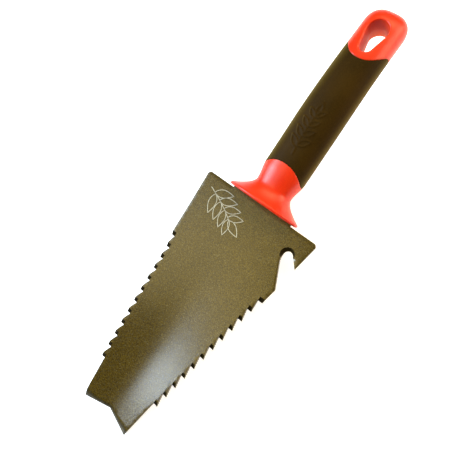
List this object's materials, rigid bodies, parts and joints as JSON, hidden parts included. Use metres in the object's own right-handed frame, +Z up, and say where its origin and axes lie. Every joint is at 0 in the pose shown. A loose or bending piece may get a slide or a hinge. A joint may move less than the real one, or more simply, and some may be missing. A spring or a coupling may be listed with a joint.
{
  "type": "hori hori knife",
  "caption": "Hori hori digging knife: a dished, saw-edged steel blade with a V tip and a twine notch, moulded into a flanged hard and soft plastic handle with a hang hole.",
  "frame": {"origin": "centre of the tool's outline in plan, on the surface that it lies on, with the concave face up: the back of the flange and the tip of the blade touch that surface", "axes": "+Y towards the end of the handle, +X towards the edge with the twine notch, +Z up, out of the concave face"},
  "size_m": [0.09, 0.3132, 0.0565],
  "materials": {
    "blade": "olive-brown powder coat with fine metallic speckle, ground and darker at the tooth faces",
    "core": "glossy, slightly translucent coral red",
    "grip": "matte dark brown-black thermoplastic elastomer"
  },
  "bodies": {
    "root": {"blade": "blade", "handle_core": "core", "grip_sleeve": "grip"}
  },
  "joints": []
}
